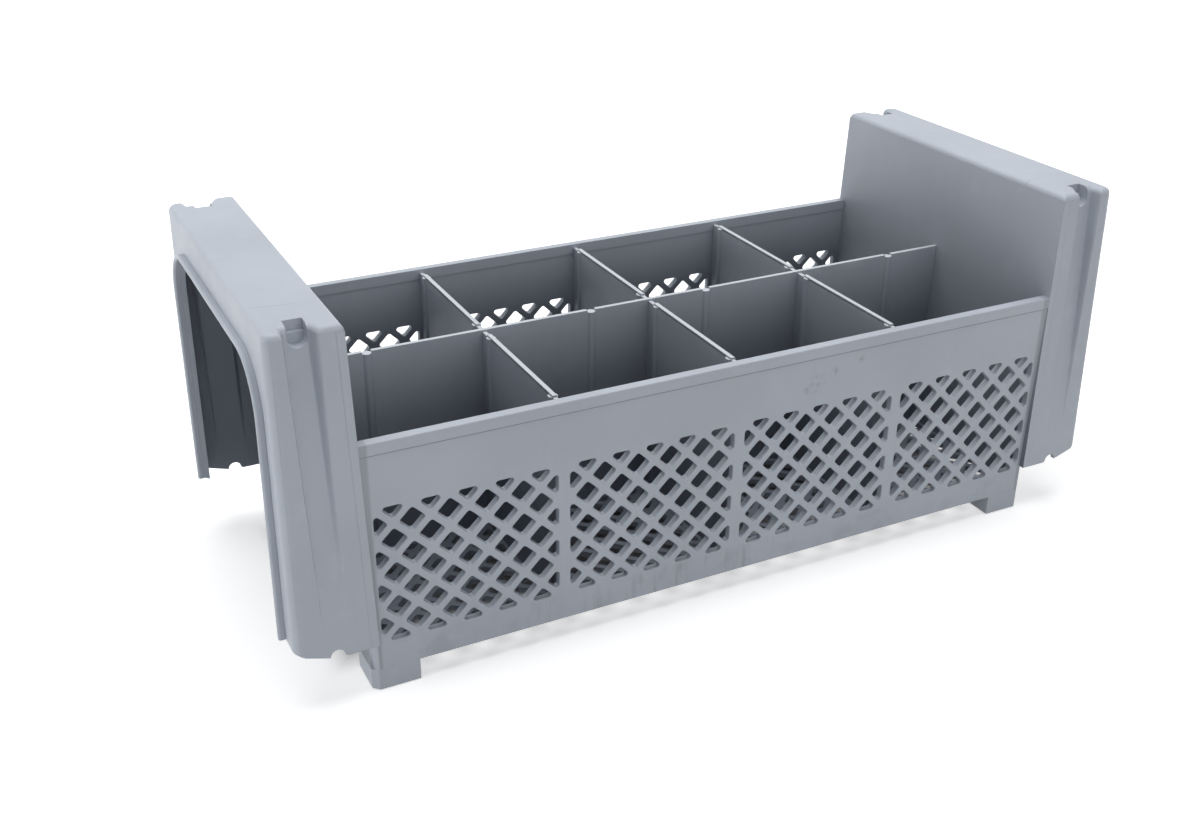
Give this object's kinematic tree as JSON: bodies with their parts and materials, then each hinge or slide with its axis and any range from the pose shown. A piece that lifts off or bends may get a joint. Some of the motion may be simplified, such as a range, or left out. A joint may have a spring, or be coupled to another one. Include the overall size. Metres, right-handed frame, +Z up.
{
  "type": "dishwasher basket",
  "caption": "Open-topped compartment basket with latticed walls and floor, corner feet and a hollow arched handle at each end, for washing flatware or glasses in a commercial washer.",
  "frame": {"origin": "middle of the plan, on the surface that the four feet stand on", "axes": "+X along the length, from one handle to the other; +Y to the rear; +Z up. The basket is the same seen from the front and the rear, and from either end."},
  "size_m": [0.4394, 0.186, 0.175],
  "materials": {
    "grey_polypropylene": "fine matt moulded surface with a soft sheen, bluish grey"
  },
  "bodies": {
    "root": {"front_wall": "grey_polypropylene", "rear_wall": "grey_polypropylene", "front_rim": "grey_polypropylene", "rear_rim": "grey_polypropylene", "floor_grid": "grey_polypropylene", "long_divider": "grey_polypropylene", "front_divider_left": "grey_polypropylene", "front_divider_middle": "grey_polypropylene", "front_divider_right": "grey_polypropylene", "rear_divider_left": "grey_polypropylene", "rear_divider_middle": "grey_polypropylene", "rear_divider_right": "grey_polypropylene", "front_left_foot": "grey_polypropylene", "front_right_foot": "grey_polypropylene", "rear_left_foot": "grey_polypropylene", "rear_right_foot": "grey_polypropylene", "left_end_wall": "grey_polypropylene", "right_end_wall": "grey_polypropylene", "left_handle_top": "grey_polypropylene", "right_handle_top": "grey_polypropylene", "left_arch_panel": "grey_polypropylene", "right_arch_panel": "grey_polypropylene", "left_arch_lip": "grey_polypropylene", "right_arch_lip": "grey_polypropylene", "front_left_flank": "grey_polypropylene", "front_right_flank": "grey_polypropylene", "rear_left_flank": "grey_polypropylene", "rear_right_flank": "grey_polypropylene"}
  },
  "joints": []
}
